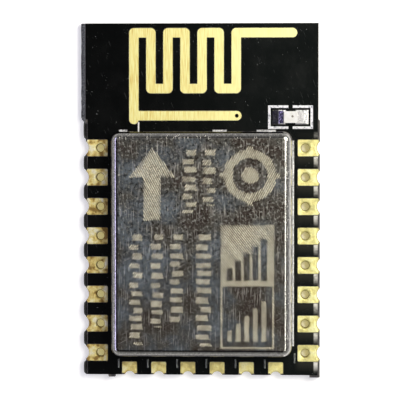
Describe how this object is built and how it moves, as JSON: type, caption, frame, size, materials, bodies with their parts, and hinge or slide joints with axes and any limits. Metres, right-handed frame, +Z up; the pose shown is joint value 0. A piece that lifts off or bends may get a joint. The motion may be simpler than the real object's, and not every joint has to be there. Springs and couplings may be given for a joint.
{
  "type": "wireless radio module",
  "caption": "Surface-mount radio module: a small circuit board with plated half-hole pads, a folded printed antenna, a chip lamp and a soldered metal shield over its chips.",
  "frame": {"origin": "centre of the underside of the board, in the plane of the lower pad faces", "axes": "+X to the right and +Y towards the antenna end when the shield faces the viewer; +Z up, out of the shield"},
  "size_m": [0.0163, 0.0242, 0.003],
  "materials": {
    "laminate": "dark woven glass and epoxy laminate, cut edges left rough",
    "solder_mask": "glossy black solder mask",
    "ink": "printed white ink",
    "gold_copper": "copper with a thin pale gold plating, slightly brushed",
    "antenna_copper": "copper with a thin pale gold plating, brushed lengthwise",
    "tinned_copper": "fine copper line, tinned pale",
    "shield_sheet": "drawn nickel-silver sheet, dark, mottled and finely scratched",
    "solder": "bright solder",
    "lamp_base": "white base board of the lamp",
    "lamp_resin": "milky clear resin",
    "chip_body": "moulded black epoxy",
    "lead_metal": "tinned leads and end caps",
    "crystal_case": "fired ceramic case",
    "capacitor": "tan ceramic",
    "resistor": "ceramic with a black coat",
    "inductor": "blue-green ceramic"
  },
  "bodies": {
    "root": {"laminate": "laminate", "top_solder_mask": "solder_mask", "bottom_solder_mask": "solder_mask", "printed_frame": "ink", "antenna_track": "antenna_copper", "feed_line": "tinned_copper", "ground_ring": "gold_copper", "part_lands": "gold_copper", "left_pad_1": "gold_copper", "left_pad_2": "gold_copper", "left_pad_3": "gold_copper", "left_pad_4": "gold_copper", "left_pad_5": "gold_copper", "left_pad_6": "gold_copper", "left_pad_7": "gold_copper", "left_pad_8": "gold_copper", "right_pad_1": "gold_copper", "right_pad_2": "gold_copper", "right_pad_3": "gold_copper", "right_pad_4": "gold_copper", "right_pad_5": "gold_copper", "right_pad_6": "gold_copper", "right_pad_7": "gold_copper", "right_pad_8": "gold_copper", "end_pad_1": "gold_copper", "end_pad_2": "gold_copper", "end_pad_3": "gold_copper", "end_pad_4": "gold_copper", "end_pad_5": "gold_copper", "end_pad_6": "gold_copper", "shield_can": "shield_sheet", "shield_solder": "solder", "lamp_base": "lamp_base", "lamp_resin": "lamp_resin", "lamp_ends": "lead_metal", "lamp_solder": "solder", "radio_chip": "chip_body", "radio_chip_leads": "lead_metal", "memory_chip": "chip_body", "memory_chip_leads": "lead_metal", "crystal_case": "crystal_case", "crystal_lid": "lead_metal", "capacitor_1": "capacitor", "capacitor_ends_1": "lead_metal", "capacitor_2": "capacitor", "capacitor_ends_2": "lead_metal", "capacitor_3": "capacitor", "capacitor_ends_3": "lead_metal", "capacitor_4": "capacitor", "capacitor_ends_4": "lead_metal", "capacitor_5": "capacitor", "capacitor_ends_5": "lead_metal", "resistor_1": "resistor", "resistor_ends_1": "lead_metal", "resistor_2": "resistor", "resistor_ends_2": "lead_metal", "inductor_1": "inductor", "inductor_ends_1": "lead_metal"}
  },
  "joints": []
}
